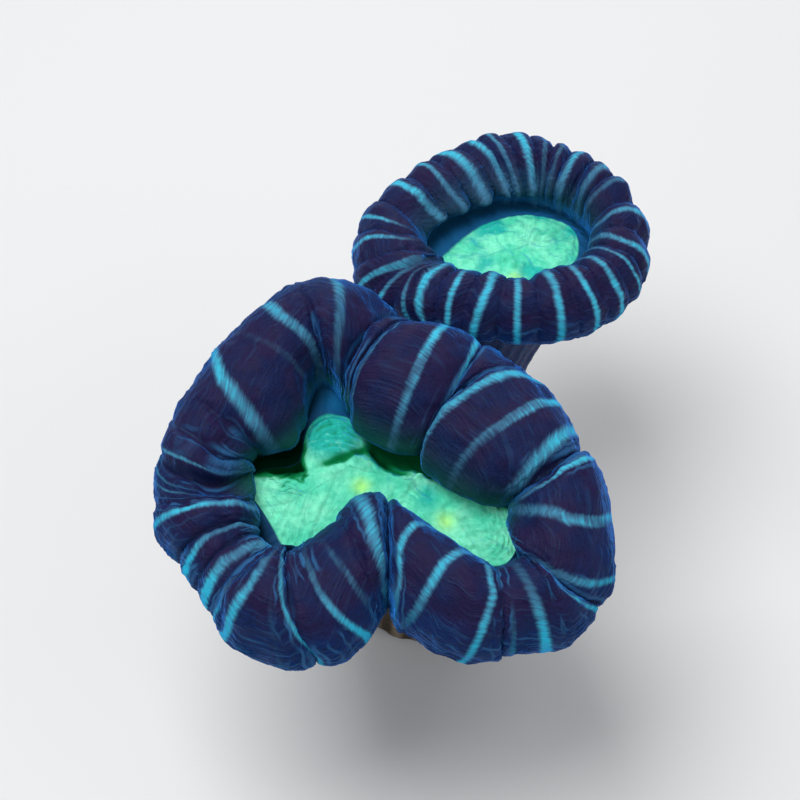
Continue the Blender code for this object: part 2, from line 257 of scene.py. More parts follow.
def waves(points, size, seed, terms=12):
    """Gentle noise about -1 to 1: a sum of sines in random directions, about size mm long."""
    random = np.random.default_rng(seed)
    direction = random.normal(size=(terms, 3))
    direction /= np.linalg.norm(direction, axis=1)[:, None]
    rate = 2 * np.pi / size * random.uniform(0.6, 1.6, terms)
    start = random.uniform(0, 2 * np.pi, terms)
    return np.sin((points @ direction.T) * rate + start).sum(-1) / np.sqrt(terms)


def section_angles(ring):
    """Section angles of a mantle's rows, from below its belly over the crest to the trough."""
    return np.radians(np.linspace(-90, ring["trough"], MANTLE_ROWS))


def deal_columns(widths, left, right, count, gather=0.45, samples=40):
    """Fold numbers of the columns round a ring. Half of them run clockwise from the left end of
    the mouth line to its right end and half run back, evenly by width, closer at each fold."""
    folds = len(widths)
    place = np.linspace(left, left + folds, folds * samples + 1)
    middle = (place[1:] + place[:-1]) / 2
    closer = 1 + gather * np.cos(2 * np.pi * middle)
    run = np.cumsum(widths[np.floor(middle).astype(int) % folds] * closer)
    run = np.concatenate([[0.0], run])
    turn = np.interp(right, place, run)
    wanted = np.concatenate([np.linspace(0, turn, count // 2, endpoint=False),
                             np.linspace(turn, run[-1], count // 2, endpoint=False)])
    return np.interp(wanted, run, place)


def ring_section(outer, inner, outwards, inwards, crest, angles, ring, bow=0.0):
    """A mantle ring between its outer and inner edge in plan: each column is half an ellipse
    outside its crest, half an ellipse inside and a belly below. The skin stands out beyond the
    two edges by outwards and inwards, and the bow moves its crest along the ring."""
    across = (outer - inner) / np.linalg.norm(outer - inner, axis=1)[:, None]
    along = np.stack([across[:, 1], -across[:, 0]], 1)
    top = outer + (inner - outer) * ring["crest_share"]
    cosine, sine = np.cos(angles)[None], np.sin(angles)[None]
    out_reach = np.linalg.norm(outer - top, axis=1)[:, None] + outwards
    in_reach = np.linalg.norm(inner - top, axis=1)[:, None] + inwards
    reach = np.where(cosine > 0, out_reach, in_reach) * cosine
    height = np.where(sine > 0, crest, ring["belly"]) * sine
    shift = bow * ease(0.0, 1.0, sine)
    plan = top[:, None] + across[:, None] * reach[..., None] + along[:, None] * shift[..., None]
    return np.concatenate([plan, height[..., None]], -1)


def folded_mantle(folds, lobes, gap, place, angles, ring):
    """The mantle ring with a lobe between each two folds. The lobe swells the section by a
    quarter circle up from the fold before and one down to the fold after, as far as their
    creases are deep, and less so near the trough. Where a crease is shallow the lobes beside it
    share their swelling. Returns points and the distance to the nearest crease."""
    count = len(folds)
    row = closed_curve(folds, gap, place)
    k = np.floor(place).astype(int) % count
    p = (place - np.floor(place))[:, None]
    degrees = np.degrees(angles)[None]
    depth = folds[:, 6:7] + (folds[:, 7:8] - folds[:, 6:7]) * ease(40, 120, degrees)
    before, after = 1 - depth[k], 1 - depth[(k + 1) % count]
    lobe = lobes[k][:, None]
    carry = (before * (1 - ease(0, 0.5, p)) / 2)[..., None]
    ahead = (after * ease(0.5, 1, p) / 2)[..., None]
    amount = (lobe * (1 - carry - ahead) + lobes[(k - 1) % count][:, None] * carry
              + lobes[(k + 1) % count][:, None] * ahead)
    start = before + (1 - before) * rounded(p / lobe[..., 3])
    swell = start * (after + (1 - after) * rounded((1 - p) / lobe[..., 4]))
    swell = (swell * (1 - 0.5 * ease(170, 200, degrees)))[..., None] * amount[..., :3]
    points = ring_section(row[:, 0:2], row[:, 2:4], swell[..., 0], swell[..., 1],
                          row[:, 4:5] + swell[..., 2], angles, ring, row[:, 5:6])
    width = gap[k][:, None]
    blurred = 1.5                       # mm that a crease is put further off where it has no depth
    return points, np.minimum(p * width + blurred * before, (1 - p) * width + blurred * after)


def disc_outline(edge, place, folds):
    """The disc's edge at each column: a smooth closed curve through its given points."""
    ends = np.append(edge[:, 0], edge[0, 0] + folds)
    return smooth_loop(edge[:, 1:], np.interp(place % folds, ends, np.arange(len(ends))))


def underside(belly, ring, rows):
    """From the oval seat on the branch out to the belly: straight in plan, and rising steeply
    first and then level, as one minus the square of the share still to go."""
    middle = np.array(ring["seat_middle"])
    toward = belly[:, :2] - middle
    angle = np.arctan2(toward[:, 1], toward[:, 0])
    seat = middle + spokes(angle) * ring["seat_half"]
    share = np.linspace(0, 1, rows, endpoint=False)[None, :, None]
    plan = seat[:, None] + (belly[:, None, :2] - seat[:, None]) * share
    height = ring["seat"] + (belly[:, None, 2:] - ring["seat"]) * (1 - (1 - share) ** 2)
    return np.concatenate([plan, height], -1)


def mouth_points(line, count):
    """The point of the mouth line that each column ends on: out along it and back again."""
    share = np.abs((np.arange(count) + count // 2) % count - count // 2) / (count // 2)
    knots = np.linspace(0, 1, len(line))
    return np.stack([np.interp(share, knots, [point[axis] for point in line])
                     for axis in (0, 1)], 1)


def sunken_disc(trough, edge, line, height, wall_rows, disc_rows):
    """From the trough inside the mantle down the wall to the disc's edge, eased in height, and
    then level over the disc to the mouth line."""
    wall_share = np.linspace(0, 1, wall_rows + 1)[1:][None, :, None]
    wall = trough[:, None, :2] + (edge - trough[:, :2])[:, None] * wall_share
    wall_height = trough[:, None, 2:] + (height - trough[:, None, 2:]) * ease(0, 1, wall_share)
    disc_share = np.linspace(0, 1, disc_rows + 1)[1:][None, :, None]
    disc = edge[:, None] + (line - edge)[:, None] * disc_share
    disc_height = np.full(disc.shape[:2] + (1,), float(height))
    return np.concatenate([np.concatenate([wall, wall_height], -1),
                           np.concatenate([disc, disc_height], -1)], 1)


def stripe_pattern(points, place, angles, table, folds):
    """Distance to the nearest stripe over its half width, measured along the ring, and that
    stripe's brightness. A stripe's place runs straight between its three given places."""
    step = steps_round(points)
    run = np.concatenate([np.zeros((1, step.shape[1])), np.cumsum(step, 0)])
    ends = np.append(place, place[0] + folds)
    row = np.arange(len(angles))
    nearest = np.full(step.shape, NO_STRIPE)
    bright = np.zeros(step.shape)
    share = np.interp(angles, (angles[0], angles[-1]), (0, 1))
    knots = np.radians(STRIPE_ANGLES)
    for stripe in table:
        at = np.interp(angles, knots, stripe[0:3])
        at = place[0] + (at - place[0]) % folds
        k = np.clip(np.searchsorted(ends, at) - 1, 0, len(place) - 1)
        part = (at - ends[k]) / (ends[k + 1] - ends[k])
        middle = run[k, row] * (1 - part) + run[k + 1, row] * part
        away = np.abs(run[:-1] - middle)
        away = np.minimum(away, run[-1] - away)
        away = away / (stripe[3] + (stripe[4] - stripe[3]) * share)
        closer = away < nearest
        nearest = np.where(closer, away, nearest)
        bright = np.where(closer, np.interp(angles, knots, stripe[5:8])[None], bright)
    return nearest, bright


def normals_of(points):
    """Unit normals of a grid that is closed along its first axis."""
    along = np.roll(points, -1, 0) - np.roll(points, 1, 0)
    up = np.gradient(points, axis=1)
    normal = np.cross(up, along)
    return normal / np.maximum(np.linalg.norm(normal, axis=-1, keepdims=True), 1e-9)


def skin_coordinates(points):
    """Coordinates that follow the skin, in mm: the way round the ring is wound on a cylinder of
    the ring's own length, so that it has no seam, and the third runs from the seat inwards."""
    step = steps_round(points.mean(1))
    turn = 2 * np.pi * (np.cumsum(step) - step) / step.sum()
    radius = step.sum() / (2 * np.pi)
    across = np.linalg.norm(np.diff(points, axis=1), axis=-1).cumsum(1)
    across = np.concatenate([np.zeros((len(points), 1)), across], 1)
    flat = np.repeat(radius * spokes(turn)[:, None], points.shape[1], 1)
    return np.concatenate([flat, across[..., None]], -1)


def line_distance(x, y, line):
    """Distance in plan to a line of straight pieces."""
    best = np.full(x.shape, 1e9)
    for (ax, ay), (bx, by) in zip(line, line[1:]):
        length = (bx - ax) ** 2 + (by - ay) ** 2
        t = np.clip(((x - ax) * (bx - ax) + (y - ay) * (by - ay)) / length, 0, 1)
        best = np.minimum(best, np.hypot(x - ax - t * (bx - ax), y - ay - t * (by - ay)))
    return best


def smooth_piece(name, points, faces, fields):
    """A piece with a smooth skin, from points in metres and faces. fields are a number or a
    vector for each point, and become attributes."""
    mesh = bpy.data.meshes.new(name)
    mesh.from_pydata(points.tolist(), [], faces)
    mesh.shade_smooth()
    for field, values in fields.items():
        kind, target = ("FLOAT", "value") if values.shape[1] == 1 else ("FLOAT_VECTOR", "vector")
        layer = mesh.attributes.new(field, kind, "POINT")
        layer.data.foreach_set(target, values.astype(np.float32).ravel())
    piece = bpy.data.objects.new(name, mesh)
    bpy.context.scene.collection.objects.link(piece)
    return piece


def head_mesh(name, points, matrix, fields):
    """One closed mesh from a grid of columns: the last point of each column is shared with the
    column that meets it on the mouth line, and a fan closes the seat."""
    columns, rows = points.shape[:2]
    hub = columns * rows
    index = np.arange(hub).reshape(columns, rows)
    partner = np.minimum(np.arange(columns), (columns - np.arange(columns)) % columns)
    index[:, -1] = index[partner, -1]
    after = np.roll(index, -1, 0)
    quads = np.stack([index[:, :-1], index[:, 1:], after[:, 1:], after[:, :-1]], -1).reshape(-1, 4)
    fan = np.stack([index[:, 0], after[:, 0], np.full(columns, hub)], -1)
    used = np.append(np.unique(quads), hub)
    faces = np.searchsorted(used, quads).tolist() + np.searchsorted(used, fan).tolist()

    def with_hub(grid):
        """The grid's values in a column, with their mean round the seat for the hub."""
        seat = grid[:, 0].reshape(columns, -1).mean(0, keepdims=True)
        return np.concatenate([grid.reshape(hub, -1), seat])

    turn = np.array(matrix)
    world = with_hub(points)[used] * MM @ turn[:3, :3].T + turn[:3, 3]
    return smooth_piece(name, world, faces,
                        {field: with_hub(values)[used] for field, values in fields.items()})


def front_disc_relief(points):
    """Height added to the front disc in mm, the shade painted on it, how teal it is, and how open
    the wall round it is, which paints that wall lighter: a wrinkled nose at the back below an open
    valley, a fold in front of it with painted shadow in it, a sunken bank under the lobes and a bay
    beside them, both painted dark as the lobes' shadow, a ridge and two facets, and fine ripples at
    the left end and arcs round the right end, with painted shade in the troughs of ripples,
    arcs and ruffles."""
    x, y = points[..., 0], points[..., 1]
    drift = waves(points, 2.2, 11) * 0.16
    nose = ease(1.15, 0.55, np.hypot((x + 4.6) / 3.2, (y - 4.0) / 3.0) + 0.4 * drift)
    ruffles = ripple(y + 0.08 * (x + 4.2) ** 2 + 1.3 * drift, NOSE_GAP)
    ruffled = nose * ease(1.6, 2.6, y)
    fold_away = line_distance(x, y + 1.2 * drift, DISC_FOLD)
    deep = ease(-6.4, -4.8, x) * ease(2.6, 1.0, x)
    bank = ease(-0.3, 0.7, y - np.interp(x, *zip(*DISC_BANK)) + drift) * ease(-2.3, -1.2, x)
    bay = ease(-6.7, -7.6, x + drift) * ease(-0.5, 0.5, y + drift) * ease(7.2, 5.0, y)
    left_end = ease(1.0, 0.5, np.hypot((x + 8.4) / 2.6, (y + 0.5) / 1.7))
    ripples = ripple(y + 0.3 * np.sin(2.4 * x) + 2.2 * drift, RIPPLE_GAP)
    right_end = ease(7.4, 8.8, x)
    arcs = ripple(np.hypot(x - 5.5, y + 4.5) + 1.5 * drift, ARC_GAP)
    facets = bell(x - 3.4, 0.8) * bell(y + 1.9, 1.3) + 0.9 * bell(x + 6.1, 0.6) * bell(y - 3.4, 0.8)
    valley = bell(x + 4.3, 1.7) * bell(y - 7.6, 2.0)

    height = 0.9 * nose + 0.16 * ruffles * ruffled - 0.9 * bank
    height += 0.3 * bell(line_distance(x, y + 0.8, DISC_FOLD), 0.45)
    height += 0.35 * bell(line_distance(x, y, DISC_RIDGE), 0.3) - 0.4 * deep * bell(fold_away, 0.34)
    height += 0.10 * np.sin(4.0 * waves(points, 5.0, 13)) * (1 - nose)
    height += 0.09 * ripples * left_end + 0.05 * arcs * right_end
    # Painted shade: in the fold, on the bank and in the bay under the lobes, and in the troughs of
    # the nose's ruffles, the ripples and the arcs
    dark = 0.65 * deep * bell(fold_away, 0.32) + 0.8 * bank + bay
    dark += 0.3 * ruffled * ease(-0.2, -0.9, ruffles) * ease(-0.6, 0.5, waves(points, 1.8, 12))
    dark += 0.36 * left_end * ease(-0.4, -0.95, ripples) * ease(-0.8, 0.4, waves(points, 1.6, 14))
    dark += 0.14 * right_end * ease(-0.4, -0.95, arcs)
    return height, np.clip(dark, 0, 1), np.clip(nose + facets, 0, 1), valley


def near_mouth(points, mouths, reach):
    """How near each point is to a mouth in plan, from 1 at its middle to 0."""
    away = np.stack([np.hypot(points[..., 0] - x, points[..., 1] - y) for x, y in mouths])
    return bell(away.min(0), reach)


def soft_wrinkles(points, fold_away, side, disc, seed):
    """Displacement of the skin in mm: slow lumps, lines that run round the ring and are deepest
    low on the outer side, and beaded ruffles that run along each fold beside it."""
    across = skin_coordinates(points)[..., 2]
    bend = waves(points, 5.0, seed) * 0.8
    lumps = 0.13 * waves(points, 4.0, seed + 1) + 0.045 * waves(points, 1.5, seed + 2)
    rings = ripple(across + bend, RING_GAP)
    rings_fade = 0.25 + 0.75 * ease(-0.6, 0.8, waves(points, 3.5, seed + 3))
    ruffles = ripple(fold_away, RUFFLE_GAP, 2.2 * waves(points, 2.6, seed + 4))
    beads = 0.65 + 0.35 * ripple(across + 0.5 * bend, BEAD_GAP)
    beside = bell(fold_away - 0.8, 0.9) * ease(-0.9, 0.6, waves(points, 4.5, seed + 5))
    move = lumps + 0.075 * rings * rings_fade * side + 0.09 * ruffles * beads * beside
    return move * (1 - disc) + disc * 0.04 * waves(points, 1.0, seed + 6)


def grow_head(name, matrix, ring, angles, mantle, fold_away, stripe, bright, disc_edge, line,
              relief, mouths, seed):
    """A whole head from its mantle ring: the underside, the mantle, the wall and the disc as one
    grid of columns, wrinkled along its normals. relief gives the disc's height, the shade painted
    on it, how teal it is, and how open its wall is, which paints the wall lighter and keeps the
    painted shade out of its crevice."""
    under = underside(mantle[:, 0], ring, UNDER_ROWS)
    disc = sunken_disc(mantle[:, -1], disc_edge, line, ring["disc"], WALL_ROWS, DISC_ROWS)
    points = np.concatenate([under, mantle, disc], 1)
    columns, rows = points.shape[:2]
    first_wall = UNDER_ROWS + MANTLE_ROWS
    first_disc = first_wall + WALL_ROWS - 1

    def whole(grid, below, above):
        """A field of the mantle carried on over the underside and the disc."""
        below = np.repeat(grid[:, :1] * 0 + below, UNDER_ROWS, 1)
        above = np.repeat(grid[:, :1] * 0 + above, WALL_ROWS + DISC_ROWS, 1)
        return np.concatenate([below, grid, above], 1)

    # Where each part of the head is: its sides, whose blue is partly painted blue light, the skin
    # that faces inwards, the disc, the wall, the crevice at the foot of the mantle, where shade is
    # painted, and the skin near the disc, where green light from the disc is painted
    degrees = np.tile(np.degrees(angles), (columns, 1))
    side = whole(1 - ease(*ring["side_ends"], degrees), 1.0, 0.0)
    inward = whole(ease(*ring["inner_starts"], degrees), 0.0, 1.0)
    folds = whole(fold_away, fold_away[:, :1], fold_away[:, -1:])
    disc_mask = np.zeros((columns, rows))
    disc_mask[:, first_disc:] = 1.0
    wall = whole(ease(*ring["wall_starts"], degrees), 0.0, 1.0) * (1 - disc_mask)
    lining = np.maximum(disc_mask, wall)
    crevice = whole(ease(ring["trough"] - 26, ring["trough"] - 8, degrees), 0.0, 0.0)
    crevice[:, first_wall:first_disc] = ease(0.7, 0.1, np.arange(WALL_ROWS - 1) / WALL_ROWS)
    inside = np.linalg.norm(points - points[:, first_disc:first_disc + 1], axis=-1)
    near_disc = whole(ease(5.2, 2.4, inside[:, UNDER_ROWS:first_wall]), 0.0, 0.0)
    near_disc = ring["disc_glow"] * near_disc * inward * (1 - crevice)

    # The disc's own shape, with fine lines along its rim and a pit at each mouth
    height, dark, teal, clear = relief(points)
    # Painted shade: the relief's on the disc and wall, and a dark line in the crevice at the foot
    # of the mantle, less where the wall is open
    dark = np.maximum(dark * lining, 0.9 * crevice * (1 - clear))
    rim_lines = ripple(inside + 0.5 * waves(points, 2.5, seed + 8), RIM_GAP)
    height = height + ring["rim_lines"] * rim_lines * ease(3.0, 0.6, inside)
    height = height - MOUTH_DEPTH * near_mouth(points, mouths, MOUTH_REACH)
    settle = np.concatenate([np.zeros(first_disc), ease(0, 8, np.arange(rows - first_disc))])
    points[..., 2] += height * settle

    lined = side * ring["ring_lines"] + 0.15 + 0.35 * inward
    move = soft_wrinkles(points, folds, lined, lining, seed)
    move[:, (0, -1)] = 0
    frill = ring["frills"] * ease(7, -3, points[..., 1])
    frill = frill * ease(-0.3, 0.6, waves(points, 5.0, seed + 9))
    frill = frill * ease(2.0, 0.8, folds) * (1 - lining)
    points = points + normals_of(points) * move[..., None]
    return head_mesh(name, points, matrix, {
        "stripe": whole(stripe, NO_STRIPE, NO_STRIPE), "bright": whole(bright, 0.0, 0.0),
        "side": side, "inward": inward, "disc": disc_mask, "wall": wall, "dark": dark,
        "teal": teal, "clear": clear, "mouth": near_mouth(points, mouths, YELLOW_REACH),
        "frill": frill, "near_disc": near_disc, "fold": folds, "skin": skin_coordinates(points)})


def shader_nodes(name):
    """A new material, its shader node, a function that adds nodes, and one that links a value to
    the shader."""
    material = bpy.data.materials.new(name)
    material.use_nodes = True
    tree = material.node_tree
    shader = tree.nodes["Principled BSDF"]

    def drive(socket, value):
        """Links a value to an input of the shader."""
        tree.links.new(value, shader.inputs[socket])

    return material, shader, node_maker(tree), drive


def node_maker(tree):
    """A function that adds nodes to a tree."""
    def add(kind, settings=None, **inputs):
        """A node with settings, and a value or a link for each input, which goes by its name or
        by i and its number."""
        node = tree.nodes.new(kind)
        for key, value in (settings or {}).items():
            setattr(node, key, value)
        for key, value in inputs.items():
            numbered = key[0] == "i" and key[1:].isdigit()
            socket = node.inputs[int(key[1:]) if numbered else key.replace("_", " ")]
            if isinstance(value, bpy.types.NodeSocket):
                tree.links.new(value, socket)
            else:
                socket.default_value = value
        return node
    return add


def attribute(add, name, output="Fac"):
    """A field of the mesh."""
    return add("ShaderNodeAttribute", {"attribute_name": name}).outputs[output]


def maths(add, operation, a, b=0.0, clamp=False):
    """One step of arithmetic, held between 0 and 1 if clamp is true."""
    node = add("ShaderNodeMath", {"operation": operation, "use_clamp": clamp}, i0=a, i1=b)
    return node.outputs[0]


def times(add, a, b, clamp=False):
    """The product of two values."""
    return maths(add, "MULTIPLY", a, b, clamp)


def coated(add, colour, *coats):
    """A colour under coats laid over it in turn. A coat is a mask from 0 to 1 and a colour, and
    a plain colour is its red, green and blue."""
    for mask, coat in coats:
        under, over = ((*c, 1) if isinstance(c, tuple) else c for c in (colour, coat))
        colour = add("ShaderNodeMix", {"data_type": "RGBA"}, i0=mask, i6=under, i7=over).outputs[2]
    return colour


def band(add, value, low, high, to_low=0.0, to_high=1.0):
    """A value mapped smoothly from one range to another."""
    return add("ShaderNodeMapRange", {"interpolation_type": "SMOOTHSTEP"}, Value=value,
               From_Min=low, From_Max=high, To_Min=to_low, To_Max=to_high).outputs[0]


def noise(add, vector, scale, detail=2.0, roughness=0.5):
    """Soft random patches, of a size that is one over the scale."""
    return add("ShaderNodeTexNoise", None, Vector=vector, Scale=scale, Detail=detail,
               Roughness=roughness).outputs["Fac"]


def scaled(add, vector, factors):
    """A vector times a factor for each of its axes."""
    return add("ShaderNodeVectorMath", {"operation": "MULTIPLY"}, i0=vector, i1=factors).outputs[0]


def dark_skin_group():
    """Colour of the dark skin: plum in patches on the crests, and blue on the sides, which is
    partly the skin's own blue and partly painted blue light.
    """
    group = bpy.data.node_groups.new("dark_skin", "ShaderNodeTree")
    for socket in ("Patches", "Side"):
        group.interface.new_socket(socket, in_out="INPUT", socket_type="NodeSocketFloat")
    group.interface.new_socket("Color", in_out="OUTPUT", socket_type="NodeSocketColor")
    add = node_maker(group)
    given = add("NodeGroupInput").outputs
    colour = coated(add, (0.015, 0.010, 0.050),
                    (band(add, given["Patches"], 0.35, 0.65), (0.009, 0.013, 0.060)),
                    # Blue on the sides: partly the skin's own colour, partly painted blue light
                    (times(add, given["Side"], 0.9, clamp=True), (0.002, 0.026, 0.125)))
    add("NodeGroupOutput", None, Color=colour)
    return group


def flesh_material(name):
    """Dark skin, pale stripes and green disc of a living head, told apart by its attributes."""
    material, shader, add, drive = shader_nodes(name)
    skin = attribute(add, "skin", "Vector")
    here = add("ShaderNodeTexCoord").outputs["Object"]
    lines = noise(add, scaled(add, skin, (0.40, 0.40, 3.2)), 1.0, 3.0, 0.6)
    rungs = noise(add, scaled(add, skin, (0.90, 0.90, 3.6)), 1.0, 2.0, 0.6)
    patches = noise(add, here, 420.0, 3.0)
    grain = noise(add, here, 4200.0, 2.0, 0.65)
    side = maths(add, "ADD", attribute(add, "side"),
                 times(add, maths(add, "SUBTRACT", patches, 0.5), 0.7))
    wall, fold, dark, disc = (attribute(add, field) for field in ("wall", "fold", "dark", "disc"))
    skin_only = maths(add, "SUBTRACT", 1.0, wall)

    # Dark skin: plum on the crests, blue low on the sides (partly painted blue light) and down the
    # wall, with fine pale lines that run round the ring, frills beside folds, and at each fold a
    # painted shade line with a painted highlight along its rim
    # Painted highlight: a pale rim beside each fold, broken up by noise
    rim = times(add, band(add, fold, 0.15, 0.32), band(add, fold, 0.34, 0.65, 1.0, 0.0))
    rim = times(add, rim, band(add, noise(add, here, 260.0, 1.0), 0.40, 0.62))
    streak = times(add, band(add, lines, 0.54, 0.68), band(add, side, 0.0, 1.0, 0.12, 0.7))
    wavy = noise(add, scaled(add, skin, (0.15, 0.15, 0.9)), 1.0, 0.0)
    turn = maths(add, "ADD", times(add, fold, 9.0), times(add, wavy, 4.5))
    frill = times(add, band(add, maths(add, "SINE", turn), 0.30, 0.95), attribute(add, "frill"))
    edges = maths(add, "MAXIMUM", times(add, frill, 0.9), times(add, rim, 0.9))
    pale = times(add, maths(add, "MAXIMUM", streak, edges), skin_only, clamp=True)
    # Painted shade: a dark line in each crease
    crease = times(add, band(add, fold, 0.0, 0.22, 0.8, 0.0), skin_only)
    # The wall's colour: blue, painted lighter where it is open and near black where shade is
    # painted
    funnel = coated(add, (0.008, 0.050, 0.130), (attribute(add, "clear"), (0.006, 0.120, 0.290)),
                    (dark, (0.000, 0.008, 0.004)))
    colour = add("ShaderNodeGroup", {"node_tree": dark_skin}, Patches=patches, Side=side)
    colour = coated(add, colour.outputs["Color"],
                    (times(add, attribute(add, "inward"), 0.7), (0.010, 0.052, 0.100)),
                    (band(add, grain, 0.36, 0.50, 0.45, 0.0), (0.004, 0.005, 0.020)),
                    (pale, (0.026, 0.118, 0.275)), (crease, (0.002, 0.008, 0.034)), (wall, funnel),
                    # Painted reflection: green light from the disc on the skin beside it
                    (attribute(add, "near_disc"), (0.006, 0.125, 0.060)))

    # Pale stripes: feathered along the skin's lines, grey teal where faint and turquoise where
    # bright
    feather = times(add, maths(add, "SUBTRACT", rungs, 0.5), 0.7)
    ragged = maths(add, "ADD", attribute(add, "stripe"), feather)
    glow = times(add, band(add, ragged, 0.15, 1.45, 1.0, 0.0),
                 band(add, rungs, 0.30, 0.62, 1.12, 0.84))
    glow = times(add, glow, attribute(add, "bright"), clamp=True)
    lit = band(add, glow, 0.40, 1.0)
    # The stripes turn bluer low on the sides, partly as painted blue light
    teal = coated(add, (0.044, 0.155, 0.270), (side, (0.014, 0.155, 0.270)))
    turquoise = coated(add, (0.040, 0.400, 0.560), (side, (0.012, 0.340, 0.540)))
    colour = coated(add, colour, (band(add, glow, 0.02, 0.55), teal), (lit, turquoise))

    # Disc: mint green, paler and darker in fine patches, teal on its mound, with yellow mouths, and
    # painted shade in its folds and troughs and under the lobes, deep green and then near black
    broad = noise(add, here, 300.0, 3.0)
    fine = noise(add, here, 1500.0, 4.0, 0.6)
    green = coated(add, (0.080, 0.620, 0.400),
                   (band(add, broad, 0.35, 0.65), (0.200, 0.780, 0.520)),
                   (times(add, attribute(add, "teal"), 0.95), (0.012, 0.420, 0.360)),
                   (band(add, fine, 0.36, 0.56, 0.35, 0.0), (0.015, 0.380, 0.230)),
                   (band(add, fine, 0.56, 0.70, 0.0, 0.32), (0.300, 0.820, 0.580)),
                   (times(add, attribute(add, "mouth"), 0.75), (0.400, 0.820, 0.160)),
                   # Painted shade: deep green, then near black
                   (band(add, dark, 0.0, 0.50), (0.003, 0.200, 0.060)),
                   (band(add, dark, 0.4, 1.0), (0.000, 0.012, 0.003)))
    drive("Base Color", coated(add, colour, (disc, green)))

    # Painted glow: the funnel, the stripes and the disc glow in place of their fluorescence, which
    # also lifts the shade in the funnel; and a wet velvety skin that turns dull where shade is
    # painted
    drive("Emission Color", coated(add, (0, 0, 0), (wall, funnel), (lit, turquoise), (disc, green)))
    shader.inputs["Emission Strength"].default_value = 0.18
    relief = maths(add, "ADD", times(add, grain, 0.5), times(add, lines, 1.3))
    relief = maths(add, "ADD", relief, times(add, frill, 0.8))
    drive("Normal", add("ShaderNodeBump", None, Height=relief, Strength=0.7,
                        Distance=0.00015).outputs[0])
    drive("Roughness", band(add, grain, 0.3, 0.7, 0.42, 0.62))
    drive("Specular IOR Level", band(add, dark, 0.2, 0.9, 0.07, 0.0))
    drive("Sheen Weight", band(add, dark, 0.2, 0.9, 1.0, 0.0))
    shader.inputs["Sheen Roughness"].default_value = 0.25
    shader.inputs["Sheen Tint"].default_value = (0.03, 0.28, 1.0, 1.0)
    return material


fold_gap = steps_round((FRONT_FOLDS[:, 0:2] + FRONT_FOLDS[:, 2:4]) / 2)
front_place = deal_columns(fold_gap, FRONT_LEFT_END, FRONT_RIGHT_END, COLUMNS)
front_angles = section_angles(FRONT_RING)
front_mantle, fold_away = folded_mantle(FRONT_FOLDS, FRONT_LOBES, fold_gap, front_place,
                                        front_angles, FRONT_RING)
front_edge = disc_outline(FRONT_DISC_EDGE, front_place, len(FRONT_FOLDS))
front_stripe, front_bright = stripe_pattern(front_mantle, front_place, front_angles,
                                            FRONT_STRIPES, len(FRONT_FOLDS))
front_frame = head_matrix("front_polyp", FRONT_OFFSET, FRONT_LEAN)
front_head = grow_head(
    "front_head", front_frame, FRONT_RING, front_angles, front_mantle, fold_away, front_stripe,
    front_bright, front_edge, mouth_points(FRONT_MOUTH_LINE, COLUMNS), front_disc_relief,
    FRONT_MOUTHS, seed=21)
dark_skin = dark_skin_group()
striped_flesh = flesh_material("striped_flesh")
front_head.data.materials.append(striped_flesh)
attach(front_head, "root")
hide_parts("front_polyp")


# ---------------------------------------------------------------------------------------------
# Rear head. The smaller, undivided one: an oval ring of the same swollen skin, drawn into ribs
# that each carry a pale stripe, round a deep funnel with the green disc at its bottom. It is one
# closed surface as well.
# ---------------------------------------------------------------------------------------------

# Ribs: angle in degrees about the ring's middle at the outer side, the crest and the inner side,
# half width of the stripe outside and inside, and its brightness at the same three places
REAR_RIBS = np.array((
    (-192.0, -173.0, -158.0, 0.40, 0.25, 0.9, 0.8, -0.6),
    (-172.0, -160.0, -148.0, 0.40, 0.25, 0.9, 0.7, -0.5),
    (-153.0, -139.5, -140.0, 0.42, 0.25, 1.0, 0.6, -0.2),
    (-139.0, -137.0, -138.0, 0.36, 0.15, 1.0, 0.3, 0.1),
    (-126.0, -134.0, -136.0, 0.24, 0.15, 0.8, 0.3, 0.1),
    (-119.5, -128.0, -133.0, 0.50, 0.55, 0.9, 1.0, 0.6),
    (-109.5, -113.0, -119.0, 0.33, 0.30, 0.9, 0.8, 0.5),
    (-101.0, -98.0, -100.0, 0.42, 0.45, 0.9, 0.9, 0.6),
    (-84.0, -85.0, -87.0, 0.36, 0.34, 0.9, 0.8, 0.5),
    (-68.0, -69.0, -73.0, 0.45, 0.42, 0.9, 0.8, 0.5),
    (-52.5, -56.0, -58.0, 0.40, 0.33, 1.0, 0.8, 0.4),
    (-41.0, -43.0, -45.0, 0.42, 0.35, 1.0, 0.7, 0.4),
    (-29.5, -32.0, -31.0, 0.28, 0.25, 0.9, 0.6, 0.3),
    (-17.5, -21.5, -18.0, 0.50, 0.35, 1.0, 0.7, 0.3),
    (3.0, -0.5, -3.0, 0.60, 0.50, 0.9, 0.7, 0.3),
    (20.0, 20.0, 20.0, 0.40, 0.35, 0.5, 0.4, 0.2),
    (32.0, 32.0, 32.0, 0.60, 0.50, 1.0, 0.6, 0.25),
    (47.0, 48.0, 51.0, 0.45, 0.40, 1.0, 0.9, 0.35),
    (57.0, 57.0, 61.0, 0.28, 0.25, 0.6, 0.35, 0.2),
    (70.0, 66.0, 65.0, 0.32, 0.28, 0.7, 0.4, 0.2),
    (88.0, 79.0, 70.5, 0.50, 0.40, 1.0, 1.0, 0.4),
    (101.0, 93.0, 84.0, 0.30, 0.25, 0.9, 0.6, 0.3),
    (111.0, 103.0, 90.0, 0.50, 0.42, 1.0, 0.9, 0.4),
    (127.0, 117.0, 111.0, 0.60, 0.50, 1.0, 1.0, 0.4),
    (138.0, 134.0, 138.0, 0.35, 0.30, 0.9, 0.7, 0.35),
    (149.0, 157.0, 161.0, 0.55, 0.50, 1.0, 1.0, 0.45),
))
REAR_LEAN = -5.0                        # the rear head leans back
